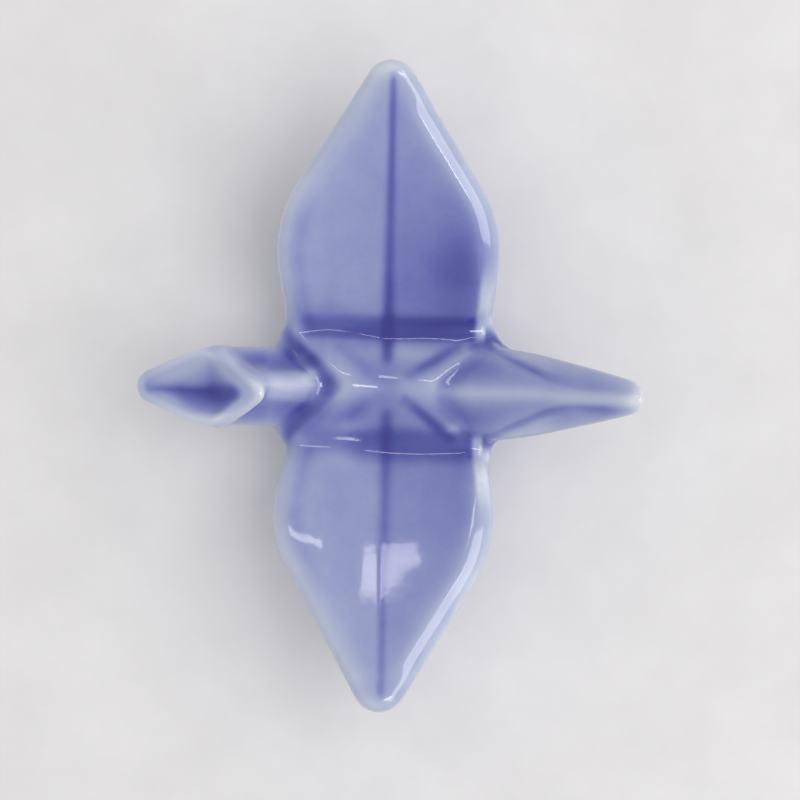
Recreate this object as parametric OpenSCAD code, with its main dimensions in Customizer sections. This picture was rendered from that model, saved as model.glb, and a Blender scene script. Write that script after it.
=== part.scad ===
// Chopstick rest in the shape of a folded crane, one glazed piece.
// Millimetres, Z up, table at z = 0. The head points to -X and the tail to +X,
// the wings spread along Y, and the chopsticks lie along Y over the back.
// Seven sections meet face to face: the wings at two upright planes in the valleys,
// the neck and the tail at upright wedges in their grooves, the head at the plane
// of its fold, and the foot ring at the flat of the belly.

/* [Wings] */
// Distance from the middle of the back to the tip of each wing
wing_reach = 32.5; // [29:0.5:37]
// Widest measure across a wing
wing_width = 22.5; // [20:0.5:25]
// Rise of the wing crease from the valley to the tip
wing_rise = 10.2; // [6:0.2:13]
// Thickness of a wing at its root
wing_thick = 3.5; // [3.2:0.1:4.2]
// Slope of the two wing halves up from the crease
wing_dish = 0.25; // [0.15:0.01:0.3]
// Depth of the pressed line along the wing
crease_depth = 0.3; // [0:0.02:0.5]

/* [Back] */
// Height of the valley between a wing and the back
valley_h = 6.4; // [6.2:0.1:7.4]
// Steepness of the back on each side of its top
back_slope = 0.61; // [0.3:0.01:0.66]
// How far the back is sunk in front of the neck
neck_sink = 1.9; // [1:0.1:2.4]
// How far the back is sunk in front of the tail
tail_sink = 0.3; // [0:0.1:1.2]
// Depth of the pressed lines across the back
fold_depth = 0.3; // [0:0.02:0.5]

/* [Neck and head] */
// Height of the fold between the neck and the head
crest_h = 18.3; // [16:0.1:21]
// Half width of the neck at its flanks
neck_half = 4.1; // [3.6:0.1:4.6]
// Half width of the head at its widest
head_half = 3.8; // [3.2:0.1:4.4]
// Depth of the trough in the head
trough_depth = 1.8; // [0.8:0.1:2.2]

/* [Tail] */
// Height of the tail at its tip
tail_h = 19.6; // [17:0.1:22]
// Half width of the tail at its root
tail_half = 5.2; // [4.6:0.1:5.6]
// Height of the step at the edge of the tongue on the tail
tongue_step = 0.4; // [0.1:0.05:0.6]

/* [Foot] */
// Length of the foot ring along X
foot_l = 16.4; // [14:0.2:17]
// Width of the foot ring along Y
foot_w = 9.8; // [9:0.2:10.4]
// Width of the standing rim
foot_rim = 2; // [1.6:0.1:2.4]
// Height of the foot ring
foot_h = 1.2; // [0.8:0.1:1.6]

/* [Hidden] */
ax = -0.4;          // wing crease, x
val = 6.1;          // valley between wing and back, distance from y = 0
neck_x = -5.4;      // apex of the neck wedge
neck_y = -0.4;
neck_k = 0.785;
tail_x = 4.1;       // apex of the tail wedge
tail_y = -0.8;
tail_k = 0.86;
wk = wing_width / 22.5;
rk = (wing_reach - val) / 26.4;
base = foot_h;      // flat of the belly
hk = crest_h - 18.3;
tk = tail_h - 19.6;
q = tongue_step;

function smin(a, b, k) = let(h = max(k - abs(a - b), 0) / k) min(a, b) - h * h * k / 4;
function smax(a, b, k) = -smin(-a, -b, k);
function ss(t, a, b) = let(u = min(max((t - a) / (b - a), 0), 1)) u * u * (3 - 2 * u);
function bell(t) = exp(-t * t);

// Edges of the wings: x of the left and right edge at distance s from y = 0
function edge_l(s, up) = up ? -smin(22.43 - 0.627 * s, 9.523 + 0.1766 * s, 3)
                            : -smin(20.11 - 0.553 * s, 8.566 + 0.256 * s, 2.6);
function edge_r(s, up) = up ? smin(21.13 - 0.6215 * s, 9.256 + 0.1097 * s, 2.2)
                            : smin(20.51 - 0.601 * s, 9.16 + 0.115 * s, 2.8);
tip_y = 29.85;
tip_x = -0.6;
tip_r = 2.65;
tan_y = 31.2;
function nib(s) = sqrt(max(tip_r * tip_r - (s - tip_y) * (s - tip_y), 0.01));
function wing_l(s, up) = wk * (s < tan_y ? edge_l(s, up) : max(edge_l(s, up), tip_x - nib(s)));
function wing_r(s, up) = wk * (s < tan_y ? edge_r(s, up) : min(edge_r(s, up), tip_x + nib(s)));

// Distance of a point from a line between two points
function off_line(x, y, a, b) =
    let(d = b - a, t = min(max(((x - a.x) * d.x + (y - a.y) * d.y) / (d.x * d.x + d.y * d.y), 0), 1))
    [norm([x - a.x - t * d.x, y - a.y - t * d.y]), t];
function fold(x, y, a, b, depth, w) =
    let(o = off_line(x, y, a, b)) depth * bell(o[0] / w) * (0.45 + 0.55 * sin(180 * min(max(o[1], 0.08), 0.92)));

// Top of the wings and the back: the dish is wide on the wings, shallow in the valleys, narrow on the ridge
function dish(x, y) =
    let(s = abs(y), r = x - ax,
        wing = wing_dish * (1 - 0.018 * min(max(s - 8, 0), 24)) * (sqrt(r * r + 10.9) - 3.3),
        valley = y < 0 ? 0.92 * (1 - bell(r / 5.2)) : 0.6 * (1 - bell(r / 5.4)),
        ridge = 0.54 * (1 - bell(r / 2.9)),
        low = ridge + (valley - ridge) * ss(s, 0.8, 4.6))
    low + (wing - low) * ss(s - val, -0.7, 4);
function along(s) = let(t = (s - val) / rk) wing_rise / 10.2 * (0.496 * t - 0.0041 * max(t, 0) * max(t, 0));
function top0(x, y) =
    let(m = 1 - 0.6 * ss(abs(x - ax), 3.5, 10.5),
        back = valley_h + (5.85 - sqrt((y + 0.2) * (y + 0.2) + 2.56)) * back_slope * m)
    smax(valley_h + along(abs(y)), back, 1.1) + dish(x, y);
function sunk(x, y) =
    let(west = smin(-2.85 - 0.679 * x - 0.734 * y, -3 - 0.69 * x + 0.724 * y, 1.6),
        east = smin(0.494 * x - 0.869 * y - 0.98, 0.578 * x + 0.817 * y - 0.46, 4))
    neck_sink * ss(west, -0.3, 2.2) + tail_sink * ss(east, -0.2, 1.5);
function pressed(x, y) =
    let(s = abs(y))
    crease_depth * bell((x - ax) / 0.55) * ss(s, 1.8, 3.2) * (1 - ss(s, 30, 31.6))
    + (s > val ? 0 :
        fold(x, y, [1.9, 1.3], [6.5, 4], fold_depth, 0.65)
        + fold(x, y, [1.5, -1.35], [5.9, -4.9], fold_depth, 0.65)
        + fold(x, y, [-5.2, 3.8], [-1.5, 0.9], fold_depth * 0.45, 0.8)
        + fold(x, y, [-5.2, -3.6], [-1.7, -1.2], fold_depth * 0.45, 0.9));
function top(x, y) = top0(x, y) - (abs(y) > val ? 0 : sunk(x, y)) * (1 - ss(abs(y), val - 0.9, val)) - pressed(x, y);

// Underside of the wings and the back, down to the flat of the belly
function under(x, y) =
    let(s = abs(y),
        rho = pow(pow(abs(x) / 8.8, 2.6) + pow(s / 5.4, 2.6), 1 / 2.6),
        plate = valley_h + along(max(s, val)) + 0.85 * dish(x, y) - wing_thick + 0.4 * ss(s, 10, 32),
        belly = base + max(rho - 1, 0) * 13.5)
    max(base, smin(plate, belly, 1.2));

// A closed skin over rings of equal length; the ends close along one line or flat
function skin_faces(n, m, split) = concat(
    [for (j = [0 : m - 2]) for (i = [0 : n - 1]) let(k = (i + 1) % n)
        each [[j * n + i, j * n + k, (j + 1) * n + k], [j * n + i, (j + 1) * n + k, (j + 1) * n + i]]],
    split ? [[for (i = [0 : n / 2]) n / 2 - i], [for (i = [0 : n / 2]) (n - i) % n]]
          : [[for (i = [0 : n - 1]) n - 1 - i]],
    [[for (i = [0 : n - 1]) (m - 1) * n + i]]);
module skin(rings, split = false, turn = false) {
    n = len(rings[0]);
    f = skin_faces(n, len(rings), split);
    polyhedron(points = [for (r = rings) each r],
               faces = turn ? f : [for (a = f) [for (i = [len(a) - 1 : -1 : 0]) a[i]]], convexity = 8);
}

// One half of a ring, [x, half width, z] from the top middle to the bottom middle
function soften(p) = concat([p[0]],
    [for (i = [0 : len(p) - 2]) each concat(i == 0 ? [] : [0.75 * p[i] + 0.25 * p[i + 1]],
                                            i == len(p) - 2 ? [] : [0.25 * p[i] + 0.75 * p[i + 1]])],
    [p[len(p) - 1]]);
function ring(half, yc) = let(h = soften(soften(half)), n = len(h)) concat(
    [for (a = h) [a.x, yc + a.y, a.z]],
    [for (i = [n - 2 : -1 : 1]) [h[i].x, yc - h[i].y, h[i].z]]);
function mid(r, j, t) =
    let(m = len(r) - 1, a = r[max(j - 1, 0)], b = r[j], c = r[min(j + 1, m)], d = r[min(j + 2, m)])
    [for (i = [0 : len(b) - 1]) let(p =
        0.5 * (2 * b[i] + t * (c[i] - a[i]) + t * t * (2 * a[i] - 5 * b[i] + 4 * c[i] - d[i])
               + t * t * t * (3 * b[i] - a[i] - 3 * c[i] + d[i])))
        [p.x, p.y, max(p.z, base)]];
function spline(r, sub) = concat([for (j = [0 : len(r) - 2]) for (k = [0 : sub - 1]) mid(r, j, k / sub)], [r[len(r) - 1]]);

// Section of a wing at distance s, up = the wing on the +Y side
cols = [1, 0.985, 0.945, 0.88, 0.75, 0.55, 0.34, 0.16, 0.08, 0.035];
function wing_ring(s, up) =
    let(l = wing_l(s, up), r = wing_r(s, up), a = wk * (ax + (tip_x - ax) * ss(s, 26, 32)),
        sy = val + (s - val) * rk,
        xs = concat([for (c = cols) a + (l - a) * c], [a], [for (i = [len(cols) - 1 : -1 : 0]) a + (r - a) * cols[i]]),
        e = [for (x = xs) let(tx = x / wk - tip_x, ty = s - tip_y)
                tx * 0.53 + ty * 0.848 > 0 && ty * 0.848 - tx * 0.53 > 0
                    ? max(tip_r - norm([tx, ty]), 0)
                    : max(min(x - wk * edge_l(s, up), wk * edge_r(s, up) - x) * 0.86, 0)],
        n = len(xs) - 1)
    concat(
        [for (i = [0 : n]) let(g = max(1.5 - e[i], 0))
            [xs[i], (up ? 1 : -1) * sy, top(xs[i], (up ? 1 : -1) * sy) - 1.5 + sqrt(max(2.25 - g * g, 0))]],
        [for (i = [n : -1 : 0]) let(g = max(1.2 - e[i], 0))
            [xs[i], (up ? 1 : -1) * sy, under(xs[i], (up ? 1 : -1) * sy) + 1.2 - sqrt(max(1.44 - g * g, 0))]]);
rows = [6.1, 6.6, 7.2, 8, 9, 10.2, 11.4, 12.6, 13.8, 15, 16.2, 17.4, 18.8, 20.4, 22, 23.6, 25.2, 26.8, 28.2,
        29.4, 30.2, 30.8, 31.3, 31.7, 32, 32.25, 32.4];

module back() {
    ys = [-6.1, -5.6, -5.1, -4.5, -3.9, -3.3, -2.7, -2.1, -1.6, -1.2, -0.8, -0.4, 0, 0.4, 0.9, 1.4, 2, 2.6, 3.2, 3.8,
          4.4, 5, 5.5, 6.1];
    n = 32;
    color([0.5, 0.52, 0.8]) skin([for (y = ys)
        let(w = neck_x - neck_k * abs(y - neck_y), e = tail_x + tail_k * abs(y - tail_y))
        concat([for (i = [0 : n]) let(x = w + (e - w) * i / n) [x, y, top(x, y)]],
               [for (i = [n : -1 : 0]) let(x = w + (e - w) * i / n) [x, y, under(x, y)]])]);
}

module left_wing() {
    color([0.53, 0.55, 0.82]) skin([for (s = rows) wing_ring(s, false)], turn = true);
}

module right_wing() {
    color([0.53, 0.55, 0.82]) skin([for (s = rows) wing_ring(s, true)]);
}

function wn(w, z) = [neck_x - neck_k * w, w, z];
module neck() {
    h = neck_half;
    color([0.47, 0.49, 0.78]) skin(spline([
        ring([wn(0, 8.3), wn(1.2, 8), wn(3, 7.1), wn(5.4, 6.7), wn(5.6, 4.2), wn(3.2, base), wn(0, base)], neck_y),
        ring([[-6.6, 0, 8.2], [-7, 1.3, 8], [-8.4, 2.8, 7.2], [-9.8, 4.9, 7], [-10.3, 4.6, 4.2], [-8.5, 2.6, base], [-8.1, 0, base]], -0.4),
        ring([[-8.5, 0, 10.6 + hk * 0.3], [-8.7, 1.3, 10.4 + hk * 0.3], [-10, 2.5, 9], [-11.3, h + 0.1, 8.3], [-12, 3.2, 6.1], [-10.8, 1.8, 4.2], [-10.6, 0, 4]], -0.35),
        ring([[-10.7, 0, 14.2 + hk * 0.6], [-10.9, 1.3, 14 + hk * 0.6], [-12.1, 2.4, 12.2 + hk * 0.5], [-13.3, h, 11 + hk * 0.4], [-14.3, 2.8, 9.1 + hk * 0.3], [-13.9, 1.3, 8.2 + hk * 0.3], [-13.8, 0, 8 + hk * 0.3]], -0.3),
        fold_ring()], 3), split = true);
}

// Ring in the plane of the fold between the neck and the head
function fo(t, w) = [-12.6 - 0.645 * t, w, crest_h + 0.1 - 0.764 * t];
function fold_ring() = ring([fo(0, 0), fo(0.3, 1.2), fo(1.9, 2.3), fo(3.6, neck_half + 0.1), fo(5.4, 2.7), fo(6.1, 1.3), fo(6.2, 0)], -0.4);

module head() {
    w = head_half;
    d = trough_depth;
    color([0.58, 0.6, 0.86]) skin(spline([
        fold_ring(),
        ring([[-14, 0, 17.4 + hk], [-14.2, 1.5, 17.7 + hk], [-14.9, 2.2, 16.9 + hk], [-16, 4.2, 15.1 + hk], [-17.2, 2.7, 13.7 + hk], [-17.7, 1.3, 12.9 + hk], [-17.8, 0, 12.8 + hk]], -0.5),
        ring([[-16, 0, 16.8 - d + hk], [-16.4, 2.6, 16.9 + hk], [-16.9, 3.2, 16.2 + hk], [-17.4, 4.2, 15 + hk], [-18.4, 2.7, 13.5 + hk], [-18.9, 1.2, 12.6 + hk], [-19, 0, 12.5 + hk]], -0.55),
        ring([[-18, 0, 15.8 - d + hk], [-18.3, w * 0.94, 16 + hk], [-18.5, w * 1.08, 15.6 + hk], [-18.8, w * 1.03, 14.6 + hk], [-19.6, 2.5, 13.2 + hk], [-20.2, 1, 12.2 + hk], [-20.3, 0, 12.1 + hk]], -0.6),
        ring([[-20.4, 0, 14.7 - d * 0.8 + hk], [-20.5, w * 0.72, 15 + hk], [-20.6, w * 0.86, 14.5 + hk], [-20.8, w * 0.82, 13.8 + hk], [-21.3, 2, 12.6 + hk], [-21.8, 0.8, 11.7 + hk], [-21.9, 0, 11.6 + hk]], -0.7),
        ring([[-22.8, 0, 13.6 - d * 0.5 + hk], [-22.8, w * 0.42, 13.8 + hk], [-22.8, w * 0.56, 13.4 + hk], [-22.9, w * 0.54, 12.8 + hk], [-23.1, 1.3, 12 + hk], [-23.3, 0.5, 11.4 + hk], [-23.4, 0, 11.3 + hk]], -0.8),
        ring([[-24.7, 0, 12.6 + hk], [-24.7, 0.6, 12.6 + hk], [-24.7, 1.1, 12.4 + hk], [-24.8, 1.1, 12.1 + hk], [-24.8, 0.9, 11.6 + hk], [-24.8, 0.4, 11.2 + hk], [-24.8, 0, 11.1 + hk]], -0.88),
        ring([[-25.4, 0, 12.24 + hk], [-25.4, 0.2, 12.2 + hk], [-25.4, 0.4, 12.1 + hk], [-25.4, 0.45, 11.9 + hk], [-25.4, 0.4, 11.7 + hk], [-25.4, 0.2, 11.6 + hk], [-25.4, 0, 11.56 + hk]], -0.9)], 3));
}

function wt(w, z) = [tail_x + tail_k * w, w, z];
function tr(x, w, z) = [x, w, z + tk * min(max((x - 6) / 18, 0), 1)];
module tail() {
    h = tail_half;
    color([0.6, 0.62, 0.87]) skin(spline([
        ring([wt(0, 9.2), wt(1.6, 8.6), wt(1.9, 8.3), wt(4.8, 7), wt(5.8, 5.9), wt(3.6, base), wt(0, base)], tail_y),
        ring([[6, 0, 9.8], [6.4, 2.6, 8.5 + q * 0.5], [6.6, 2.9, 8.4 - q * 0.5], [9, h + 0.2, 7.2], [9.4, h, 5.6], [8, 2.6, base], [7.2, 0, base]], -0.75),
        ring([tr(8.6, 0, 11.1), tr(8.7, 3.6, 9 + q * 0.5), tr(8.8, 3.8, 8.8 - q * 0.5), tr(10.6, h, 7.6), tr(10.8, h - 0.4, 5.6), tr(10, 2, 2.2), tr(9.6, 0, 2)], -0.7),
        ring([tr(11.5, 0, 12.5), tr(11.5, 2.5, 11 + q * 0.5), tr(11.5, 2.8, 10.8 - q * 0.5), tr(12, h - 0.5, 8.8), tr(12.3, 3.7, 6.8), tr(12.2, 1.2, 4.6), tr(12, 0, 4.4)], -0.6),
        ring([tr(14.5, 0, 14), tr(14.5, 1.2, 13.2 + q * 0.4), tr(14.5, 1.5, 12.9 - q * 0.4), tr(14.7, h - 1.2, 10.6), tr(14.9, 3, 8.8), tr(14.9, 1, 7.1), tr(14.8, 0, 6.9)], -0.55),
        ring([tr(18, 0, 15.8), tr(18, 0.7, 15.4), tr(18, 1.1, 14.9), tr(18.1, 3.2, 12.9), tr(18.2, 2.2, 11.4), tr(18.2, 0.8, 10.2), tr(18.1, 0, 10)], -0.55),
        ring([tr(21.6, 0, 17.6), tr(21.6, 0.6, 17.4), tr(21.6, 0.9, 17), tr(21.7, 2.2, 15.6), tr(21.7, 1.7, 14.5), tr(21.7, 0.7, 13.6), tr(21.7, 0, 13.5)], -0.62),
        ring([tr(24.2, 0, 19), tr(24.2, 0.7, 18.9), tr(24.2, 1, 18.6), tr(24.2, 1.8, 17.8), tr(24.2, 1.6, 17), tr(24.2, 0.8, 16.3), tr(24.2, 0, 16.2)], -0.75),
        ring([tr(25.1, 0, 19.4), tr(25.1, 0.6, 19.3), tr(25.1, 0.9, 19.1), tr(25.1, 1.3, 18.6), tr(25.1, 1.2, 18), tr(25.1, 0.6, 17.5), tr(25.1, 0, 17.4)], -0.8),
        ring([tr(25.4, 0, 19.05), tr(25.4, 0.3, 19), tr(25.4, 0.5, 18.8), tr(25.4, 0.6, 18.5), tr(25.4, 0.5, 18.2), tr(25.4, 0.3, 18), tr(25.4, 0, 17.95)], -0.8)], 3), split = true, turn = true);
}

module oblong(l, w, h) {
    linear_extrude(height = h) union() {
        translate([-(l - w) / 2, 0]) circle(d = w, $fn = 96);
        translate([(l - w) / 2, 0]) circle(d = w, $fn = 96);
        translate([-(l - w) / 2, -w / 2]) square([l - w, w]);
    }
}
module foot() {
    color([0.9, 0.88, 0.84]) difference() {
        oblong(foot_l, foot_w, foot_h);
        translate([0, 0, -1]) oblong(foot_l - 2 * foot_rim, foot_w - 2 * foot_rim, foot_h + 2);
    }
}

back();
left_wing();
right_wing();
neck();
head();
tail();
foot();
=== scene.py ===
import math
import bpy
import numpy as np
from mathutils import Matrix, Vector


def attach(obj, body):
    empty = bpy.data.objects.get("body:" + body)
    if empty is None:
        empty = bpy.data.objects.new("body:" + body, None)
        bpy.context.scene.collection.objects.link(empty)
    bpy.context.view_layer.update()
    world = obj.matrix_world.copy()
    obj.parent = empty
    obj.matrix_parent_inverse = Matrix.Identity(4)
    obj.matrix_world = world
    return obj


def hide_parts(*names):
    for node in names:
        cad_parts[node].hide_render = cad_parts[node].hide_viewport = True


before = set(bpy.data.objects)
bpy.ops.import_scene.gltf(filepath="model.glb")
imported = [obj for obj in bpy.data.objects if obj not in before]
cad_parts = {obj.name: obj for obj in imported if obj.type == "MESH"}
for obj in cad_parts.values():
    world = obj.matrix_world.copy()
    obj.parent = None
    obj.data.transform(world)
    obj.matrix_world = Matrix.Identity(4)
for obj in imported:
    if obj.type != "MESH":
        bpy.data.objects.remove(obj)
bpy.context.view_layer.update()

F = np.float32
H = 0.16                       # grid step, mm

# ---------------------------------------------------------------- camera
# The photograph looks straight down; 10 pixels to the millimetre at mid height, turned by 1.2 degrees.
cam_data = bpy.data.cameras.new("camera")
camera = bpy.data.objects.new("camera", cam_data)
bpy.context.collection.objects.link(camera)
CAM_Z, MID_Z = 0.75, 0.012
camera.location = (0.00093, -0.00133, CAM_Z)
camera.rotation_euler = (0, 0, math.radians(1.2))
cam_data.sensor_width = 36
cam_data.lens = 36 * (CAM_Z - MID_Z) / 0.080
cam_data.clip_start, cam_data.clip_end = 0.01, 10
bpy.context.scene.camera = camera


# ---------------------------------------------------------------- the crane as one field, in mm
def smin(a, b, k):
    h = np.maximum(k - np.abs(a - b), 0) / k
    return np.minimum(a, b) - h * h * k * 0.25


def smax(a, b, k):
    return -smin(-a, -b, k)


def rint(a, b, r):
    """Intersection whose edge is round, of radius r."""
    return np.minimum(np.maximum(a, b) + r, 0) + np.hypot(np.maximum(a + r, 0), np.maximum(b + r, 0)) - r


def sstep(t, a, b):
    u = np.clip((t - a) / (b - a), 0, 1)
    return u * u * (3 - 2 * u)


def bell(t):
    return np.exp(-t * t)


def line(px, py, n):
    return n[0] * px + n[1] * py - n[2]


def seg(x, y, a, b):
    """Distance to a segment, and the share along it."""
    dx, dy = b[0] - a[0], b[1] - a[1]
    t = np.clip(((x - a[0]) * dx + (y - a[1]) * dy) / (dx * dx + dy * dy), 0, 1)
    return np.hypot(x - a[0] - t * dx, y - a[1] - t * dy), t


def rounded(x, y, a, b, r, body):
    """body, with the corner between the lines a and b turned into an arc of radius r that touches both."""
    det = a[0] * b[1] - a[1] * b[0]
    tx = x - ((a[2] - r) * b[1] - a[1] * (b[2] - r)) / det
    ty = y - (a[0] * (b[2] - r) - (a[2] - r) * b[0]) / det
    at_tip = ((tx * b[1] - ty * b[0]) / det > 0) & ((a[0] * ty - a[1] * tx) / det > 0)
    return np.where(at_tip, np.hypot(tx, ty) - r, body)


AX, VAL = -0.4, 6.1            # wing crease, and the planes where the wings meet the back
NECK_X, NECK_Y, NECK_K = -5.4, -0.4, 0.785
TAIL_X, TAIL_Y, TAIL_K = 4.1, -0.8, 0.86
FOOT_Z = 1.2
LO, HI = (-27.0, -34.0, -1.0), (27.0, 34.0, 21.4)
WING = {
    +1: dict(A=(-0.847, 0.531, 19.0), B=(0.8495, 0.528, 17.95), C=(-0.985, -0.174, 9.38), D=(0.994, -0.109, 9.2),
             kl=3.4, kr=2.6, r=2.63),
    -1: dict(A=(-0.875, 0.484, 17.6), B=(0.857, 0.515, 17.58), C=(-0.969, -0.248, 8.3), D=(0.9935, -0.114, 9.1),
             kl=2.9, kr=2.9, r=2.73),
}


def wing_d2(x, s, side):
    w = WING[side]
    a, b, c, d = (line(x, s, w[k]) for k in "ABCD")
    return rounded(x, s, w["A"], w["B"], w["r"], np.maximum(smax(a, c, w["kl"]), smax(b, d, w["kr"])))


def valley(x, y):
    """Distance from y = 0 to the bottom of the valley on this side."""
    north = 5.65 + 0.15 * np.clip(-x - 0.8, 0, 5.5)
    south = 5.62 + 0.06 * np.clip(x, -4, 7)
    return south + (north - south) * sstep(y, -4, 4)


def dish(x, y):
    """Rise to both sides of the crease: straight and steep on the wings, shallow in the valleys, narrow on the ridge."""
    r, s = x - AX, np.abs(y)
    wing = (0.250 - 0.0045 * np.clip(s - 8, 0, 24)) * (np.sqrt(r * r + 3.3 ** 2) - 3.3)
    q = -r - 6.0
    wing = wing - 0.055 * (q + np.sqrt(q * q + 0.5)) * sstep(-y, 4, 9)
    wing = wing + 0.13 * bell((s - 15.7) / 2.5) * sstep(-r, 2.5, 6.5) * sstep(-y, 4, 9)
    q = s - 17.0
    wing = wing - 0.0075 * np.maximum(r, 0) * smin(0.5 * (q + np.sqrt(q * q + 1)), 4 + 0 * q, 2.0) * sstep(-y, 4, 9)
    low = 0.92 * (1 - bell(r / 5.2)) + (0.60 * (1 - bell(r / 5.4)) - 0.92 * (1 - bell(r / 5.2))) * sstep(y, -4, 4)
    ridge = 0.54 * (1 - bell(r / 2.9))
    low = ridge + (low - ridge) * sstep(np.abs(y + 0.2), 0.8, 4.6)
    return low + (wing - low) * sstep(s - valley(x, y), -0.3, 4.5)


def wing_zc(t):
    """Height along the crease at distance t outside the valley: steep at the root, and less so towards the tip."""
    u = np.maximum(t, 0)
    return 6.35 + 0.4655 * t - 0.00275 * u * u + 0.4 * (1 - np.exp(-u / 4)) + np.minimum(t, 0) * 0.25


def bevel(x, s, e):
    """Drop of the rim outside the crest that ends the dished face; e is the distance in from the outline."""
    east = sstep(x, -1.5, 1.5) * (1 - 0.80 * sstep(s, 27.0, 29.5))
    root = east * (1 - sstep(s, 6.3, 8.0))
    wide = 1.35 + 0.60 * sstep(s, 8, 13) + 1.3 * root
    k = 1.5 - 1.2 * east
    t = smax(wide - e, 0 * e, k) - 0.25 * k * sstep(e, 3.0, 1.0)
    t = np.maximum(t, 0)
    fade = 0.1 + 0.9 * sstep(s, 4.4, 7.0)
    return (t * (0.34 + 0.30 * east) + t * t * (0.10 - 0.08 * east)) * (fade + root * (0.33 - fade))


NW, SW = (0.679, 0.734, -2.85), (0.690, -0.724, -3.00)
NE, SE = (0.494, -0.869, 0.98), (0.578, 0.817, 0.46)


def sectors(x, y):
    """How far a point lies inside the sunk part in front of the neck, and of the tail."""
    west = smin(NW[2] - NW[0] * x - NW[1] * y, SW[2] - SW[0] * x - SW[1] * y, 1.6)
    east = smin(line(x, y, NE), line(x, y, SE), 6.0)
    return west, east


def hump(y):
    return np.sqrt((y + 0.2) ** 2 + 1.1 ** 2)


def top_of_plate(x, y, e):
    s = np.abs(y)
    v = valley(x, y)
    m = 1 - 0.35 * sstep(AX - x, 3.5, 10.5) - 0.60 * sstep(x - AX, 3.5, 10.5)
    foot = hump(5.75 + 0 * y) + (hump(-5.65 + 0 * y) - hump(5.75 + 0 * y)) * sstep(-y, -4, 4)
    back = 6.35 + (foot + v - 5.7 - hump(y)) * 0.61 * m
    t = smax(wing_zc(s - v), back - 0.045 * (x - 3.2 + np.sqrt((x - 3.2) ** 2 + 0.4)), 1.5) + dish(x, y)
    west, east = sectors(x, y)
    return t - 1.9 * sstep(west, -0.3, 2.2) - 0.34 * sstep(east, -0.2, 1.2) - bevel(x, s, e)


PRESSED = [  # lines pressed across the back: ends, width, depth of the glaze's hollow, depth of colour
    ((1.9, 1.3), (6.5, 4.0), 0.60, 0.13, 0.24),
    ((1.5, -1.35), (5.9, -4.9), 0.62, 0.14, 0.26),
    ((-5.2, 3.8), (-1.5, 0.9), 0.80, 0.06, 0.11),
    ((-5.2, -3.6), (-1.7, -1.2), 0.90, 0.06, 0.12),
]
GROOVE = [(-10.4, 5.2), (-9.27, 4.0), (-7.2, 1.6), (-5.95, -0.05), (-6.3, -1.5), (-7.4, -3.1), (-8.9, -4.2), (-10.2, -5.2)]


def mid_crease(x, y):
    s = np.abs(y)
    w = 0.42 + 0.24 * sstep(-s, -27, -7)
    return bell((x - AX) / w) * sstep(s, 1.6, 3.4) * (1 - sstep(s, 30.3, 31.7))


def pressed(x, y, col):
    g = 0
    for line_ in PRESSED:
        dist, t = seg(x, y, line_[0], line_[1])
        g = g + line_[col] * bell(dist / line_[2]) * (0.35 + 0.65 * np.sin(np.pi * np.clip(t, 0.06, 0.94)))
    return g


def head_plane(x):
    return 18.2 + 0.46 * (x + 12.8)


HEAD_FU, HEAD_FL = (-0.422, 0.906, 11.38), (-0.405, -0.914, 11.8)
HEAD_RU, HEAD_RL = (0.690, 0.724, -9.2), (0.629, -0.777, -6.7)


def head_front(x, y):
    """Distance outside the two front edges, whose tip is round."""
    return rounded(x, y, HEAD_FU, HEAD_FL, 1.76, np.maximum(line(x, y, HEAD_FU), line(x, y, HEAD_FL)))


def head_rear(x, y):
    return smax(line(x, y, HEAD_RU), line(x, y, HEAD_RL), 1.3)


def head_d2(x, y):
    return smax(head_front(x, y), head_rear(x, y), 2.6 + 1.2 * sstep(-y, -0.5, 1.5))


def tail_half(x):
    return smin(4.63 - 0.243 * (x - 12.9), 4.85 + 0 * x, 1.0)


def tail_ridge(x):
    return 8.75 + 0.525 * (x - 4.6)


def ridge_y(x):
    return -0.45 - 0.05 * np.clip(x - 15, 0, 8)


def tongue_half(x):
    return smin(smax(3.38 - 0.46 * (x - 11.3), 0.80 + 0 * x, 1.0), smin(4.3 + 0 * x, 1.02 * (x - 4.0) + 0.3, 1.0), 0.8)


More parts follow.
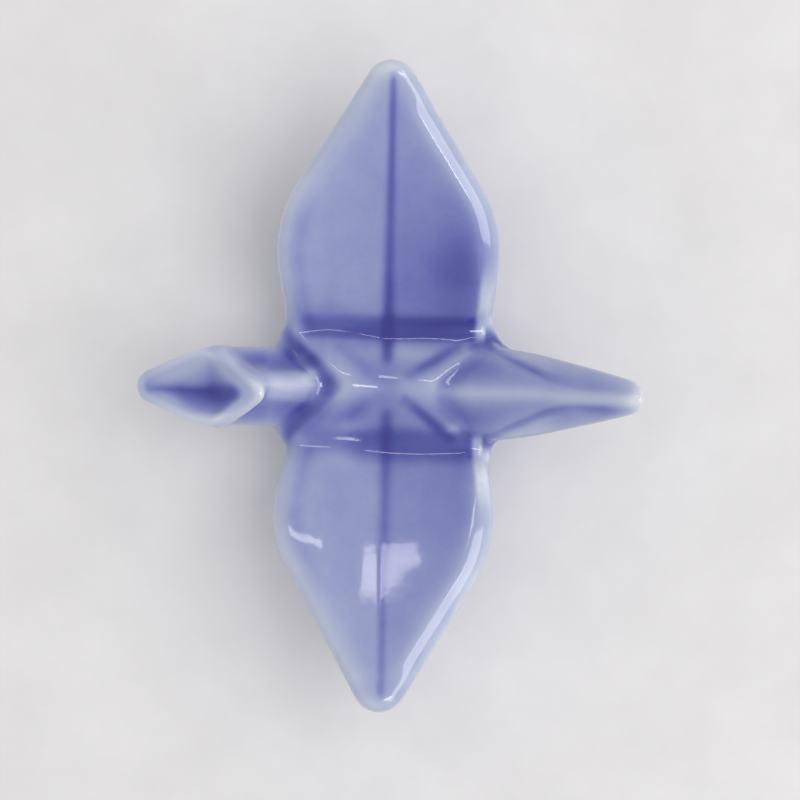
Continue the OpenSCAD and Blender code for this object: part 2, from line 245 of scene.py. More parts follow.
def field(h):
    xs = np.arange(LO[0], HI[0] + h / 2, h, dtype=F)
    ys = np.arange(LO[1], HI[1] + h / 2, h, dtype=F)
    zs = np.arange(LO[2], HI[2] + h / 2, h, dtype=F)
    x2, y2 = np.meshgrid(xs, ys, indexing="ij")
    s2 = np.abs(y2)
    z = zs[None, None, :]

    def within(lx, hx, ly, hy):
        i = slice(np.searchsorted(xs, lx), np.searchsorted(xs, hx))
        j = slice(np.searchsorted(ys, ly), np.searchsorted(ys, hy))
        return i, j, xs[i][:, None, None], ys[j][None, :, None]

    # wings and back
    sc = np.maximum(s2, VAL)
    t = sstep(y2, -VAL, VAL)
    d2 = ((1 - t) * wing_d2(x2, sc, -1) + t * wing_d2(x2, sc, +1)).astype(F)
    T = top_of_plate(x2, y2, -d2)
    T = (T - 0.07 * mid_crease(x2, y2) - pressed(x2, y2, 3)).astype(F)
    thick = 3.4 - 0.4 * sstep(s2, 10, 32)
    B = (wing_zc(sc - 5.8) + 0.2 * (np.sqrt((x2 - AX) ** 2 + 4) - 2) - thick - 0.3 * np.maximum(1.5 + d2, 0)).astype(F)
    gx, gy = np.gradient(T, h)
    cT = 1 / np.sqrt(1 + np.minimum(gx * gx + gy * gy, 1.0))
    gx, gy = np.gradient(B, h)
    cB = 1 / np.sqrt(1 + gx * gx + gy * gy)
    top = (z - T[..., None]) * cT[..., None]
    plan = np.broadcast_to(d2[..., None], top.shape)
    d = rint(top, plan, F(1.0))
    del top
    bot = (B[..., None] - z) * cB[..., None]
    d = np.maximum(d, rint(bot, plan, F(1.3)))
    del bot, plan

    # belly
    i, j, x, y = within(-14, 14, -12, 12)
    yy = y + 0.1
    a = 8.8 + 0.75 * np.clip(z - 0.9, 0, 6)
    b = 5.4 + 0.40 * np.clip(z - 0.9, 0, 6)
    rho = ((np.abs(x) / a) ** 2.6 + (np.abs(yy) / b) ** 2.6) ** (1 / 2.6)
    belly = smax((rho - 1) * b, 1.26 - z, 1.0)
    belly = smax(belly, z - 5.3, 1.0)
    d[i, j] = smin(d[i, j], belly, 2.2)

    # neck: a kite section with a flat back, leaning towards the head
    i, j, x, y = within(-22, -2, -9, 9)
    v = (x + 7.243) * 0.8415 + (z - 3.99) * 0.540
    w = np.abs(y + 0.25 - 0.08 * np.maximum(v, 0))
    flank = 0.567 * v + 0.824 * w - 2.35 - 0.035 * (x + 16) + 0.40 * bell((v - 0.3) / 1.3) + 0.09 * (v + np.sqrt(v * v + 0.5))
    front = -0.888 * v + 0.460 * w - 4.0
    neck = smax(flank, front, 1.3)
    neck = smax(neck, v - 2.45, 1.0)
    neck = smax(neck, -v - 3.6, 1.2)
    neck = smax(neck, z - head_plane(x) + 0.35, 1.6)
    neck = smax(neck, 2.0 - z, 1.5)
    d[i, j] = smin(d[i, j], neck, 2.0)

    # tail: a roof over upright sides, with the stepped tongue at its root
    i, j, x, y = within(1, 27, -11, 11)
    w = np.sqrt((y + 0.55) ** 2 + 0.25) - 0.35
    wr = np.sqrt((y - ridge_y(x)) ** 2 + 0.5) - 0.5
    W, zr = tail_half(x), tail_ridge(x)
    zb = smax(1.6 + 0 * x, 2.2 + 0.95 * (x - 10.0), 1.5)
    fall = 0.74 * wr + 0 * x
    zw = zr - 0.76 * (W - 0.2)
    tf = (z - zr + fall) * 0.70
    low = smax(0.8 + 0 * x, W - 0.30 * (zw - z), 0.6)
    tb = (w - smin(W + 0 * z, low, 0.6)) * 0.95
    tail = smax(tf, tb, 1.5)
    tail = smax(tail, (zb - z) * 0.72, 1.6)
    tail = smax(tail, x - 25.2 + 0.045 * (y + 1.0) ** 2 + 0.04 * (z - 18.3) ** 2, 1.1)
    tail = smax(tail, 3.2 - x, 1.0)
    wt = np.abs(y - ridge_y(x))
    step = 0.15 * (1 - sstep(x, 13.5, 17.5) * sstep(y, -1.0, 0.2))
    tongue = smax(wt - tongue_half(x), tf - step, 0.5)
    tongue = smax(tongue, (zr - 2.2 - 0.8 * wt - z) * 0.7, 1.0)
    tongue = smax(tongue, x - 24.4, 1.0)
    tail = smin(tail, tongue, 0.3)
    k = 1.5 + 1.1 * sstep(y, 0.5, 3.5) + 0 * z
    d[i, j] = smin(d[i, j], tail, k)

    # head: an open boat with a V trough
    i, j, x, y = within(-27, -10, -8, 8)
    hx, hy = x[:, :, 0] + 0 * y[:, :, 0], 0 * x[:, :, 0] + y[:, :, 0]
    h2 = head_d2(hx, hy)
    e0 = np.maximum(-h2, 0)
    zp = head_plane(hx)
    htop = (z - zp[..., None]) * 0.908
    hbot = (zp[..., None] - 1.5 - 0.9 * e0[..., None] - z) * 0.72
    plan = np.broadcast_to(h2[..., None], htop.shape)
    head = smax(rint(htop, plan, 0.75), hbot, 1.0)
    d[i, j] = smin(d[i, j], head, 1.4)
    side = np.minimum(0.52 * (-line(hx, hy, HEAD_FU) - 1.30), 0.66 * (-line(hx, hy, HEAD_FL) - 0.95))
    side = np.minimum(side, 0.60 * (-head_front(hx, hy) - 0.95))
    along = -head_rear(hx, hy) - 1.30
    depth = smin(side, 0.80 * along, 0.45 + 0.75 * sstep(-hy, 0.8, 2.4))
    depth = smax(depth, 0 * depth, 0.5)
    trough = zp - depth
    below = (z - trough[..., None]) * 0.80
    within_rim = np.broadcast_to((-h2 - 0.85)[..., None], below.shape)
    d[i, j] = smax(d[i, j], smin(below, within_rim, 0.5), 0.45)

    # foot ring, below a glazed underside that stays clear of the ring's top plane
    i, j, x, y = within(-12, 12, -9, 9)
    d[i, j] = smax(d[i, j], FOOT_Z + 0.08 - z, 0.3)
    out = np.hypot(np.maximum(np.abs(x) - 3.3, 0), y) - 4.9
    ring = np.maximum(out, -2.0 - out)
    ring = rint(ring, -z + 0 * ring, 0.35)
    ring = np.maximum(ring, z - 1.8)
    d[i, j] = smin(d[i, j], ring, 0.4)
    return (xs, ys, zs), d.astype(F)


def untangle(d):
    """Moves the zero level off the few grid squares that it crosses twice, where the mesh would touch itself."""
    for _ in range(12):
        bad = 0
        for ax in range(3):
            o1, o2 = [o for o in range(3) if o != ax]

            def at(i, j):
                sl = [slice(None)] * 3
                sl[o1] = slice(i, d.shape[o1] - 1 + i)
                sl[o2] = slice(j, d.shape[o2] - 1 + j)
                return d[tuple(sl)]
            a, b, c, e = (at(i, j) < 0 for i, j in ((0, 0), (1, 0), (0, 1), (1, 1)))
            for q in np.argwhere((a == e) & (b == c) & (a != b)):
                spots = []
                for i, j in ((0, 0), (1, 0), (0, 1), (1, 1)):
                    k = list(q)
                    k[o1] += i
                    k[o2] += j
                    spots.append(tuple(k))
                least = min(spots, key=lambda k: abs(d[k]))
                d[least] = -0.004 if d[least] >= 0 else 0.004
                bad += 1
        if not bad:
            return d
    raise RuntimeError("the surface still touches itself")


def nets(axes, d):
    """Surface nets: a vertex in each cell that the surface crosses, a quad on each grid edge that it crosses."""
    xs, ys, zs = axes
    h = float(xs[1] - xs[0])
    ins = d < 0
    nx, ny, nz = d.shape
    cnt = sum(ins[i:nx - 1 + i, j:ny - 1 + j, k:nz - 1 + k].astype(np.int8) for i in (0, 1) for j in (0, 1) for k in (0, 1))
    cells = np.argwhere((cnt > 0) & (cnt < 8))
    idx = -np.ones(cnt.shape, np.int32)
    idx[tuple(cells.T)] = np.arange(len(cells), dtype=np.int32)
    corner = {(i, j, k): d[cells[:, 0] + i, cells[:, 1] + j, cells[:, 2] + k].astype(float)
              for i in (0, 1) for j in (0, 1) for k in (0, 1)}
    acc, num = np.zeros((len(cells), 3)), np.zeros(len(cells))
    for p in corner:
        for ax in range(3):
            if p[ax] == 0:
                q = list(p)
                q[ax] = 1
                a, b = corner[p], corner[tuple(q)]
                m = (a < 0) != (b < 0)
                pos = np.tile(np.array(p, float), (int(m.sum()), 1))
                pos[:, ax] += a[m] / (a[m] - b[m])
                acc[m] += pos
                num[m] += 1
    v = (cells + acc / num[:, None]) * h + np.array([xs[0], ys[0], zs[0]], float)
    quads = []
    for ax in range(3):
        o1, o2 = (ax + 1) % 3, (ax + 2) % 3
        sa, sb = [slice(1, -1)] * 3, [slice(1, -1)] * 3
        sa[ax], sb[ax] = slice(0, -1), slice(1, None)
        a, b = ins[tuple(sa)], ins[tuple(sb)]
        for flip, m in ((False, a & ~b), (True, ~a & b)):
            e = np.argwhere(m)
            for o in (o1, o2):
                e[:, o] += 1
            ring = []
            for s1, s2 in ((0, 0), (1, 0), (1, 1), (0, 1)):
                c = e.copy()
                c[:, o1] -= 1 - s1
                c[:, o2] -= 1 - s2
                ring.append(idx[tuple(c.T)])
            q = np.stack(ring, 1)
            quads.append(q[:, ::-1] if flip else q)
    return v, np.concatenate(quads)


def sample(axes, f, p):
    """Value of f between its grid points."""
    h = float(axes[0][1] - axes[0][0])
    g = (p - np.array([a[0] for a in axes], float)) / h
    i = np.clip(np.floor(g).astype(int), 0, np.array(f.shape) - 2)
    t = g - i
    out = 0
    for a in (0, 1):
        for b in (0, 1):
            for c in (0, 1):
                w = ((t[:, 0] if a else 1 - t[:, 0]) * (t[:, 1] if b else 1 - t[:, 1]) * (t[:, 2] if c else 1 - t[:, 2]))
                out = out + w * f[i[:, 0] + a, i[:, 1] + b, i[:, 2] + c]
    return out


def gradient(axes, f, p, e):
    return np.stack([sample(axes, f, p + np.eye(3)[k] * e) - sample(axes, f, p - np.eye(3)[k] * e) for k in range(3)], 1) / (2 * e)


def settle(axes, d, v, q, rounds=2):
    """Evens the quads out, then puts the vertices back on the surface."""
    n = len(v)
    for _ in range(rounds):
        acc, num = np.zeros((n, 3)), np.zeros(n)
        for k in range(4):
            i, j = q[:, k], q[:, (k + 1) % 4]
            for c in range(3):
                acc[:, c] += np.bincount(i, v[j, c], n) + np.bincount(j, v[i, c], n)
            num += np.bincount(i, minlength=n) + np.bincount(j, minlength=n)
        v = 0.5 * v + 0.5 * acc / num[:, None]
        g = gradient(axes, d, v, H * 0.75)
        f = sample(axes, d, v)
        v = v - g * (f / np.maximum((g * g).sum(1), 0.05))[:, None]
    return v


def blur(f, sigma):
    """Gaussian blur, in grid steps."""
    r = int(math.ceil(sigma * 3))
    k = np.exp(-0.5 * (np.arange(-r, r + 1) / sigma) ** 2)
    k = (k / k.sum()).astype(F)
    for ax in range(3):
        out = np.zeros_like(f)
        n = f.shape[ax]
        for o, w in zip(range(-r, r + 1), k):
            a, b = [slice(None)] * 3, [slice(None)] * 3
            a[ax], b[ax] = slice(max(0, o), min(n, n + o)), slice(max(0, -o), min(n, n - o))
            out[tuple(b)] += w * f[tuple(a)]
        f = out
    return f


axes, D = field(H)
D = untangle(D)
verts, quads = nets(axes, D)
verts = settle(axes, D, verts, quads)

# How full of body the space round a point is, at three scales: glaze pools where it is over one half and draws off where it is under.
half = tuple(a[:len(a) // 2 * 2].reshape(-1, 2).mean(1) for a in axes)
occ = np.clip(0.5 - D / (2 * H), 0, 1)[:len(half[0]) * 2, :len(half[1]) * 2, :len(half[2]) * 2]
occ = occ.reshape(len(half[0]), 2, len(half[1]), 2, len(half[2]), 2).mean((1, 3, 5)).astype(F)
FULL = [blur(occ, s / (2 * H)) for s in (0.42, 0.95, 2.0)]
del occ


def mesh_of(name, v, q):
    me = bpy.data.meshes.new(name)
    me.vertices.add(len(v))
    me.vertices.foreach_set("co", (v * 0.001).astype(F).ravel())
    me.loops.add(q.size)
    me.loops.foreach_set("vertex_index", q.astype(np.int32).ravel())
    me.polygons.add(len(q))
    me.polygons.foreach_set("loop_start", (np.arange(len(q)) * q.shape[1]).astype(np.int32))
    me.update(calc_edges=True)
    return me


def prism(name, plan, z0, z1):
    """A closed prism over a counter-clockwise plan, in mm."""
    n = len(plan)
    v = [(x * 0.001, y * 0.001, z * 0.001) for z in (z0, z1) for x, y in plan]
    f = [tuple(range(n))[::-1], tuple(range(n, 2 * n))] + [(i, (i + 1) % n, n + (i + 1) % n, n + i) for i in range(n)]
    me = bpy.data.meshes.new(name)
    me.from_pydata(v, [], f)
    return me


def cut(me, tool, how):
    a, b = bpy.data.objects.new("cut_a", me), bpy.data.objects.new("cut_b", tool)
    for o in (a, b):
        bpy.context.collection.objects.link(o)
    mod = a.modifiers.new("cut", "BOOLEAN")
    mod.operation, mod.object, mod.solver = how, b, "MANIFOLD"
    out = bpy.data.meshes.new_from_object(a.evaluated_get(bpy.context.evaluated_depsgraph_get()))
    for o in (a, b):
        bpy.data.objects.remove(o)
    if len(out.polygons) == len(me.polygons):
        raise RuntimeError("a cut failed")
    return out


whole = mesh_of("whole", verts, quads)
BIG = 60
right = cut(whole, prism("p", [(-BIG, VAL), (BIG, VAL), (BIG, BIG), (-BIG, BIG)], -5, 30), "INTERSECT")
left = cut(whole, prism("p", [(-BIG, -BIG), (BIG, -BIG), (BIG, -VAL), (-BIG, -VAL)], -5, 30), "INTERSECT")
middle = cut(whole, prism("p", [(-BIG, -VAL), (BIG, -VAL), (BIG, VAL), (-BIG, VAL)], -5, 30), "INTERSECT")
foot = cut(middle, prism("p", [(-BIG, -BIG), (BIG, -BIG), (BIG, BIG), (-BIG, BIG)], -5, FOOT_Z), "INTERSECT")
upper = cut(middle, prism("p", [(-BIG, -BIG), (BIG, -BIG), (BIG, BIG), (-BIG, BIG)], -5, FOOT_Z), "DIFFERENCE")
neck_plan = [(NECK_X, NECK_Y), (NECK_X - NECK_K * 30, NECK_Y + 30), (NECK_X - NECK_K * 30 - 30, NECK_Y + 30),
             (NECK_X - NECK_K * 30 - 30, NECK_Y - 30), (NECK_X - NECK_K * 30, NECK_Y - 30)]
tail_plan = [(TAIL_X, TAIL_Y), (TAIL_X + TAIL_K * 30, TAIL_Y - 30), (TAIL_X + TAIL_K * 30 + 30, TAIL_Y - 30),
             (TAIL_X + TAIL_K * 30 + 30, TAIL_Y + 30), (TAIL_X + TAIL_K * 30, TAIL_Y + 30)]
west = cut(upper, prism("p", neck_plan, -5, 30), "INTERSECT")
rest = cut(upper, prism("p", neck_plan, -5, 30), "DIFFERENCE")
tail = cut(rest, prism("p", tail_plan, -5, 30), "INTERSECT")
back = cut(rest, prism("p", tail_plan, -5, 30), "DIFFERENCE")
# the fold between neck and head is a slanted plane: a box on its head side
FOLD_P, FOLD_D = np.array([-12.6, 0, 18.4]), np.array([-0.645, 0, -0.764])
FOLD_N = np.array([-0.764, 0, 0.645])
corners = [FOLD_P + FOLD_D * a + FOLD_N * n + np.array([0, y, 0]) for n in (0, 30) for a, y in ((-30, -30), (-30, 30), (30, 30), (30, -30))]
fold = bpy.data.meshes.new("p")
fold.from_pydata([tuple(c * 0.001) for c in corners], [], [(3, 2, 1, 0), (4, 5, 6, 7), (0, 1, 5, 4), (1, 2, 6, 5), (2, 3, 7, 6), (3, 0, 4, 7)])
import bmesh
bm = bmesh.new()
bm.from_mesh(fold)
bmesh.ops.recalc_face_normals(bm, faces=bm.faces)
bm.to_mesh(fold)
bm.free()
head = cut(west, fold.copy(), "INTERSECT")
neck = cut(west, fold, "DIFFERENCE")


# ---------------------------------------------------------------- materials
def srgb(r, g, b):
    return tuple((c / 255 / 12.92) if c / 255 <= 0.04045 else ((c / 255 + 0.055) / 1.055) ** 2.4 for c in (r, g, b)) + (1,)


class Tree:
    def __init__(self, name):
        self.mat = bpy.data.materials.new(name)
        self.mat.use_nodes = True
        self.t = self.mat.node_tree
        self.t.nodes.clear()
        self.out = self.t.nodes.new("ShaderNodeOutputMaterial")
        self.bsdf = self.t.nodes.new("ShaderNodeBsdfPrincipled")
        self.t.links.new(self.bsdf.outputs[0], self.out.inputs[0])

    def node(self, kind, links=None, **values):
        n = self.t.nodes.new(kind)
        for k, v in values.items():
            setattr(n, k, v)
        for k, v in (links or {}).items():
            if hasattr(v, "is_output"):
                self.t.links.new(v, n.inputs[k])
            else:
                n.inputs[k].default_value = v
        return n

    def math(self, op, a, b=0.0, c=0.0):
        return self.node("ShaderNodeMath", {0: a, 1: b, 2: c}, operation=op).outputs[0]

    def noise(self, scale, detail=2.0, rough=0.5, where=None):
        where = where or self.node("ShaderNodeTexCoord").outputs["Object"]
        return self.node("ShaderNodeTexNoise", {"Vector": where, "Scale": scale, "Detail": detail, "Roughness": rough}).outputs[0]

    def ramp(self, fac, stops):
        n = self.node("ShaderNodeValToRGB", {0: fac})
        e = n.color_ramp.elements
        while len(e) < len(stops):
            e.new(0.5)
        for s, (p, c) in zip(e, stops):
            s.position, s.color = p, c
        return n.outputs[0]


def glaze():
    t = Tree("glaze")
    pool = t.node("ShaderNodeAttribute", attribute_name="pool").outputs["Fac"]
    soft = t.math("MULTIPLY_ADD", t.noise(230, 3, 0.55), 0.12, -0.06)
    fine = t.math("MULTIPLY_ADD", t.noise(1500, 2, 0.6), 0.04, -0.02)
    fac = t.math("ADD", t.math("ADD", pool, soft), fine)
    col = t.ramp(fac, [
        # the whitest stop is there mainly for the painted light at the roots of the right rims
        (0.00, srgb(233, 235, 242)),
        (0.03, srgb(212, 217, 229)),
        (0.20, srgb(181, 189, 214)),
        (0.35, srgb(160, 168, 205)),
        (0.50, srgb(131, 139, 194)),
        (0.65, srgb(100, 107, 178)),
        (0.80, srgb(73, 77, 158)),
        (1.00, srgb(55, 55, 140)),
    ])
    t.t.links.new(col, t.bsdf.inputs["Base Color"])
    t.bsdf.inputs["Roughness"].default_value = 0.07
    t.bsdf.inputs["IOR"].default_value = 1.5
    bump = t.node("ShaderNodeBump", {"Strength": 0.12, "Distance": 0.00012, "Height": t.noise(420, 2, 0.5)})
    t.t.links.new(bump.outputs[0], t.bsdf.inputs["Normal"])
    return t.mat


def bare_clay():
    t = Tree("bare_clay")
    grain = t.noise(5200, 3, 0.7)
    cloud = t.noise(420, 3, 0.6)
    fac = t.math("ADD", t.math("MULTIPLY", grain, 0.5), t.math("MULTIPLY", cloud, 0.5))
    col = t.ramp(fac, [(0.3, srgb(196, 188, 176)), (0.5, srgb(226, 220, 210)), (0.7, srgb(238, 234, 226))])
    t.t.links.new(col, t.bsdf.inputs["Base Color"])
    t.bsdf.inputs["Roughness"].default_value = 0.82
    bump = t.node("ShaderNodeBump", {"Strength": 0.5, "Distance": 0.00006, "Height": grain})
    t.t.links.new(bump.outputs[0], t.bsdf.inputs["Normal"])
    return t.mat


GLAZE, CLAY = glaze(), bare_clay()


def glaze_depth(p, n):
    """0 where the glaze has drawn off, 1 where it lies deepest."""
    x, y, z = p.T
    c = [sample(half, f, p) - 0.5 for f in FULL]
    body = 0.5 + 0.5 * np.clip(c[0], -0.25, 0.3) + 1.0 * np.clip(c[1], -0.25, 0.3) + 0.55 * np.clip(c[2], -0.4, 0.3)
    s = np.abs(y)
    up = sstep(n[:, 2], 0.2, 0.6)
    wing = sstep(s, VAL - 0.5, VAL + 0.5)
    mid = 1 - wing
    # lines pressed into the clay, filled with glaze
    ink = np.where(y > 0, 0.29, 0.15) * mid_crease(x, y) * (0.8 + 0.35 * sstep(-s, -18, -7))
    ink = ink + pressed(x, y, 4) * (1 - sstep(s, 5.8, 7.0))
    # valleys between the wings and the back
    north = sstep(y, 4.3, 5.2) * (1 - sstep(y, 6.3, 7.6)) * sstep(x, -9.8, -8.2) * (1 - sstep(x, 7.6, 9.2))
    south = sstep(-y, 3.4, 5.0) * (1 - sstep(-y, 6.6, 8.4)) * sstep(x, -5.6, -2.4) * (1 - sstep(x, 7.4, 9.0))
    ink = ink + north * (0.19 + 0.05 * sstep(x, -1, 3)) + 0.13 * south
    # painted shade: the right half of each wing, which tilts away from the east lamp, is made darker, most of all in
    # front of the rim at its root
    right = np.where(y > 0, 0.05 + 0.14 * sstep(x, 1.5, 8.0), 0.02 + 0.09 * sstep(x, 1.5, 8.0))
    ink = ink + wing * right * sstep(x, -0.2, 0.6) * (1 - 0.7 * sstep(s, 9, 26))
    # painted light: the left half of each wing, which tilts towards the east lamp, is made a little paler; painted
    # shade: more darkening on the right half of the upper wing
    ink = ink - 0.04 * wing * sstep(-x, -0.5, 1.5) * np.where(y > 0, 0.8, 1.2)
    ink = ink + 0.09 * wing * sstep(y, 0, 1) * sstep(x, -0.2, 1.2) * bell((s - 12.0) / 5.5) + 0.06 * wing * bell((x - 6.4) / 2.2) * bell((y - 11.5) / 3.5)
    # rims: pale only near the edge on the left; palest of all at the roots of the right rims, partly thin glaze on the
    # rim and partly painted light from the east lamp
    e = -np.where(y > 0, wing_d2(x, np.maximum(s, VAL), +1), wing_d2(x, np.maximum(s, VAL), -1))
    ink = ink + 0.12 * wing * sstep(-x, 5, 7) * bell((e - 1.9) / 0.8) * (1 - sstep(s, 15, 22))
    ink = ink + (0.05 + 0.04 * sstep(y, 4, 5)) * wing * sstep(-x, 2, 5) * (1 - sstep(e, 1.0, 2.0))
    ink = ink + np.where(y > 0, 0.04, 0.15) * sstep(s, 28.5, 31.0)
    # painted light: the roots of the right rims are made paler than their glaze alone, as if lit by the east lamp
    root = sstep(x, 6.0, 7.5) * (1 - sstep(e, 1.2, 1.9)) * sstep(s, 4.3, 5.3)
    root = root * (1 - (1 - sstep(e, 0.3, 0.8)) * (1 - sstep(s, 5.6, 6.6)))
    ink = ink - root * (0.10 + 0.28 * (1 - sstep(s, 8.5, 14)))
    # crests on the back, where the glaze has run off
    ink = ink - 0.19 * bell((x - 1.3) / 3.2) * bell((y - 3.5) / 1.0) - 0.16 * bell((x + 4.0) / 2.0) * bell((y + 4.2) / 0.7)
    ink = ink + 0.08 * bell((x + 0.1) / 1.3) * bell((y + 0.2) / 1.9) + 0.04 * bell((x + 2.6) / 2.0) * bell((y - 0.3) / 0.9)
    ink = ink - 0.05 * bell((x + 5.2) / 2.0) * bell((y - 5.9) / 0.8) - 0.06 * bell((x - 14.3) / 2.0) * bell((y + 2.9) / 0.8)
    ink = ink - 0.13 * bell(seg(x, y, (4.2, 0.6), (7.4, 3.7))[0] / 0.6) - 0.24 * bell((x - 6.4) / 0.9) * bell((y + 4.1) / 0.6)
    ink = ink - 0.07 * bell((x + 5.2) / 2.2) * bell((y + 7.4) / 1.0) - 0.08 * bell((x + 4.2) / 2.0) * bell((y - 2.8) / 1.2)
    # the groove round the foot of the neck
    near = np.full(len(x), 9.0)
    for a, b in zip(GROOVE[:-1], GROOVE[1:]):
        near = np.minimum(near, seg(x, y, a, b)[0])
    ink = ink + bell(near / 0.85) * (0.11 + 0.05 * sstep(y, 0.5, 3.0) + 0.01 * sstep(-y, 1, 3))
    # flanks of the neck, beside its pale ridge
    nf = sstep(-x, 6.4, 8.0) * (1 - sstep(-x, 13.0, 16.0))
    ink = ink + nf * (0.20 * bell((y - 2.3) / 1.0) + 0.05 * bell((y + 2.4) / 0.9) - 0.15 * bell(y / 0.9))
    ink = ink - 0.40 * bell(seg(x, y, (-9.1, 2.4), (-8.2, 1.2))[0] / 0.9) + 0.06 * bell((x + 13.6) / 1.0) * bell((y - 0.2) / 1.6)
    # corners beside the root of the tail
    ink = ink + 0.34 * bell((x - 10.3) / 1.8) * bell((y - 4.7) / 0.9) + 0.20 * bell((x - 9.8) / 1.3) * bell((y + 5.1) / 0.8)
    # the trough of the head
    front, rear = -head_front(x, y), -head_rear(x, y)
    inside = sstep(rear, 1.2, 2.0) * sstep(-x, 12.5, 14)
    south = sstep(-y, 0.2, 1.6)
    ink = ink + inside * sstep(front, 0.6, 1.5) * 0.12 * bell((y + 0.70) / 0.65)
    ink = ink + inside * sstep(front, 0.6, 1.8) * sstep(x, -23.4, -19.6) * 0.24 * south
    ink = ink + 0.08 * inside * bell((x + 16.4) / 1.7) * bell((y + 0.6) / 0.8) - 0.12 * bell((x + 18.2) / 1.0) * bell((y + 3.1) / 0.7)
    ink = ink + 0.12 * (1 - sstep(rear, 0.6, 1.4)) * sstep(-x, 12.0, 13.0)
    ink = ink + 0.15 * bell((x + 25.0) / 1.6) + 0.06 * sstep(-x, 15, 18) * (1 - sstep(front, 0.8, 1.6))
    # beside the tongue of the tail
    wt = np.abs(y - ridge_y(x))
    fades = 1 - np.where(y > -0.9, sstep(x, 13.8, 16.2), sstep(x, 21, 24))
    ink = ink + np.where(y > -0.5, 0.09, 0.05) * bell((wt - tongue_half(x) - 0.3) / 0.35) * sstep(x, 10.0, 11.5) * fades
    outer = sstep(wt - tongue_half(x), 0.5, 1.3)
    ink = ink - outer * sstep(x, 9.8, 11.5) * (1 - sstep(x, 14.5, 18)) * np.where(y > 0, 0.12, 0.17)
    ink = ink + 0.12 * bell((x - 21.6) / 1.7) * bell((y + 2.0) / 0.7)
    ink = ink + 0.08 * bell((wt - 0.6 * tongue_half(x)) / 1.0) * sstep(x, 4.2, 5.2) * (1 - sstep(x, 8, 14))
    ink = ink - 0.07 * bell((y - ridge_y(x)) / 0.75) * sstep(x, 5.5, 8) + 0.06 * sstep(x, 11, 15) + 0.05 * sstep(x, 18, 21)
    pool = np.clip(body + ink * up, 0.03, 1)
    # painted light: at the roots of the right rims the colour may go paler still, down to the whitest colour stop
    return pool - 0.03 * sstep(0.03 - body - ink * up, 0.0, 0.25) * root


def tidy(me):
    """Splits all faces into triangles, and turns the diagonals that two pairs of them would share."""
    bm = bmesh.new()
    bm.from_mesh(me)
    bmesh.ops.triangulate(bm, faces=bm.faces)
    for _ in range(6):
        shared = [e for e in bm.edges if len(e.link_faces) > 2]
        if not shared:
            break
        for e in shared:
            a, c = e.verts
            loops = list(e.link_loops)
            best = None
            for f in [l for l in loops if l.vert == a]:
                for g in [l for l in loops if l.vert == c]:
                    p, q = f.link_loop_prev.vert, g.link_loop_prev.vert
                    if p == q or bm.edges.get((p, q)):
                        continue
                    n1 = (q.co - a.co).cross(p.co - a.co)
                    n2 = (c.co - q.co).cross(p.co - q.co)
                    score = n1.dot(f.face.normal + g.face.normal) + n2.dot(f.face.normal + g.face.normal)
                    if best is None or score > best[0]:
                        best = (score, f.face, g.face, p, q)
            if best:
                bm.faces.remove(best[1])
                bm.faces.remove(best[2])
                for vs in ((a, best[4], best[3]), (best[4], c, best[3])):
                    bm.faces.new(vs).normal_update()
    bm.to_mesh(me)
    bm.free()
    me.update()


def piece(name, me, node, mat):
    tidy(me)
    n = len(me.vertices)
    co = np.empty(n * 3, F)
    me.vertices.foreach_get("co", co)
    p = co.reshape(-1, 3).astype(float) * 1000
    g = gradient(axes, D, p, H * 1.4)
    g /= np.maximum(np.linalg.norm(g, axis=1, keepdims=True), 1e-9)
    # corners on a cut face keep the face's own normal
    nf = len(me.polygons)
    start, total = np.empty(nf, np.int32), np.empty(nf, np.int32)
    me.polygons.foreach_get("loop_start", start)
    me.polygons.foreach_get("loop_total", total)
    fn, fc = np.empty(nf * 3, F), np.empty(nf * 3, F)
    me.polygons.foreach_get("normal", fn)
    me.polygons.foreach_get("center", fc)
    fn, fc = fn.reshape(-1, 3), fc.reshape(-1, 3) * 1000
    lv = np.empty(len(me.loops), np.int32)
    me.loops.foreach_get("vertex_index", lv)
    owner = np.repeat(np.arange(nf), total)
    on_cut = ((np.abs(np.abs(fc[:, 1]) - VAL) < 2e-3) & (np.abs(fn[:, 1]) > 0.999)) \
        | ((np.abs(fc[:, 2] - FOOT_Z) < 2e-3) & (np.abs(fn[:, 2]) > 0.999)) \
        | ((np.abs(fc[:, 0] - NECK_X + NECK_K * np.abs(fc[:, 1] - NECK_Y)) < 3e-3) & (np.abs(fn[:, 2]) < 0.02)) \
        | ((np.abs(fc[:, 0] - TAIL_X - TAIL_K * np.abs(fc[:, 1] - TAIL_Y)) < 3e-3) & (np.abs(fn[:, 2]) < 0.02)) \
        | ((np.abs((fc - FOLD_P) @ FOLD_N) < 3e-3) & (np.abs(fn @ FOLD_N) > 0.999))
    normals = g[lv]
    normals[on_cut[owner]] = fn[owner][on_cut[owner]]
    me.polygons.foreach_set("use_smooth", np.ones(nf, bool))
    me.normals_split_custom_set(normals.tolist())
    pool = glaze_depth(p, g)
    att = me.attributes.new("pool", "FLOAT", "POINT")
    att.data.foreach_set("value", np.clip(pool, 0, 1).astype(F))
    me.materials.clear()
    me.materials.append(mat)
    me.name = name
    o = bpy.data.objects.new(name, me)
    bpy.context.collection.objects.link(o)
    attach(o, "root")
    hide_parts(node)
    print(name, len(me.polygons), "faces", "pool", np.percentile(pool, [1, 25, 50, 75, 99]).round(2))
    return o


piece("glazed_back", back, "back", GLAZE)
piece("glazed_left_wing", left, "left_wing", GLAZE)
piece("glazed_right_wing", right, "right_wing", GLAZE)
piece("glazed_neck", neck, "neck", GLAZE)
piece("glazed_head", head, "head", GLAZE)
piece("glazed_tail", tail, "tail", GLAZE)
piece("bare_foot_ring", foot, "foot", CLAY)

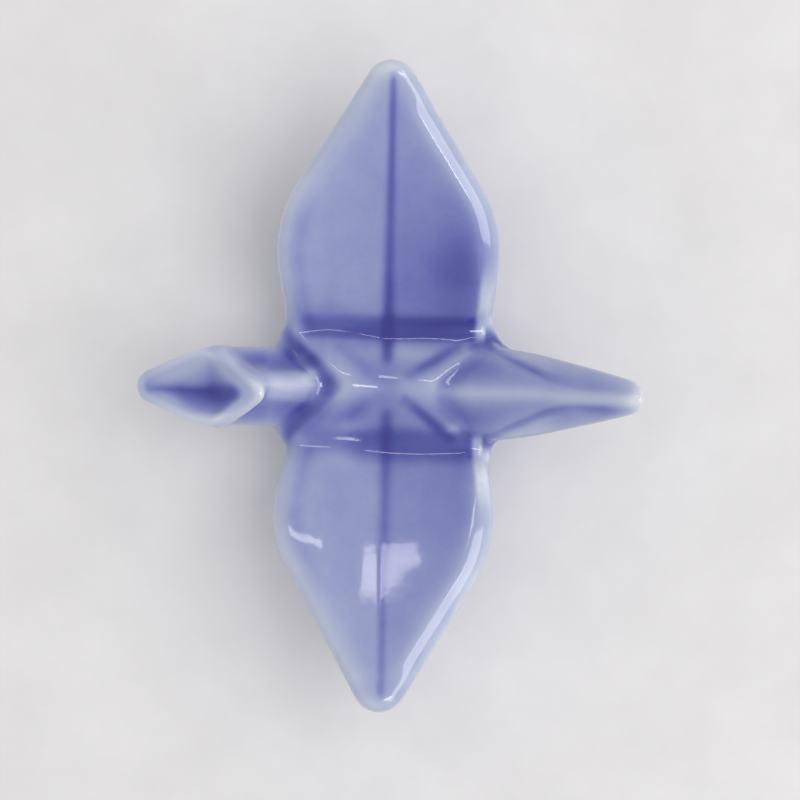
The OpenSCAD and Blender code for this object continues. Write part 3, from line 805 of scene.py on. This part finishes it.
# ---------------------------------------------------------------- floor and light
floor_mesh = bpy.data.meshes.new("floor")
floor_mesh.from_pydata([(-1.5, -1.5, 0), (1.5, -1.5, 0), (1.5, 1.5, 0), (-1.5, 1.5, 0)], [], [(0, 1, 2, 3)])
floor = bpy.data.objects.new("floor", floor_mesh)
bpy.context.collection.objects.link(floor)
ft = Tree("floor")
ft.t.links.new(ft.ramp(ft.noise(90, 4, 0.6), [(0.3, srgb(227, 225, 225)), (0.7, srgb(235, 233, 233))]), ft.bsdf.inputs["Base Color"])
ft.bsdf.inputs["Roughness"].default_value = 0.7
floor_mesh.materials.append(ft.mat)


def area(name, azimuth, zenith, dist, sx, sy, power, color=(1, 1, 1)):
    """Azimuth from +X towards +Y; sx across, sy up and down."""
    l = bpy.data.lights.new(name, "AREA")
    l.shape, l.size, l.size_y, l.energy, l.color = "RECTANGLE", sx, sy, power, color
    o = bpy.data.objects.new(name, l)
    a, z = math.radians(azimuth), math.radians(zenith)
    o.location = Vector((math.cos(a) * math.sin(z), math.sin(a) * math.sin(z), math.cos(z))) * dist
    o.rotation_euler = (-Vector(o.location)).to_track_quat("-Z", "Y").to_euler()
    bpy.context.collection.objects.link(o)
    return o


def lit(name, azimuth, zenith, dist, sx, sy, radiance, color=(1, 1, 1), shade=True, shine=True):
    o = area(name, azimuth, zenith, dist, sx, sy, radiance * math.pi * sx * sy, color)
    o.visible_diffuse, o.visible_glossy = shade, shine
    return o


lit("key_strip", 0, 25, 1.0, 0.21, 0.38, 9.0, shade=False)
lit("bar_north", 89.5, 41, 1.0, 0.44, 0.065, 6.6, color=(1.0, 0.95, 0.93), shade=False)
lit("softbox_east", 0, 46, 1.0, 1.10, 0.50, 4.2, shade=False)
lit("soft_east", 0, 30, 0.5, 0.40, 0.40, 1.50, shine=False)
lit("low_east", -12, 68, 1.0, 0.40, 0.35, 3.0, shine=False)
lit("fill_west", 178, 70, 1.0, 0.60, 0.40, 1.8, shine=False)
world = bpy.data.worlds.new("world")
bpy.context.scene.world = world
world.use_nodes = True
bg = world.node_tree.nodes["Background"]
bg.inputs[0].default_value = (0.98, 0.98, 0.99, 1)
bg.inputs[1].default_value = 0.66
bpy.context.scene.view_settings.view_transform = "Standard"
bpy.context.scene.view_settings.look = "None"
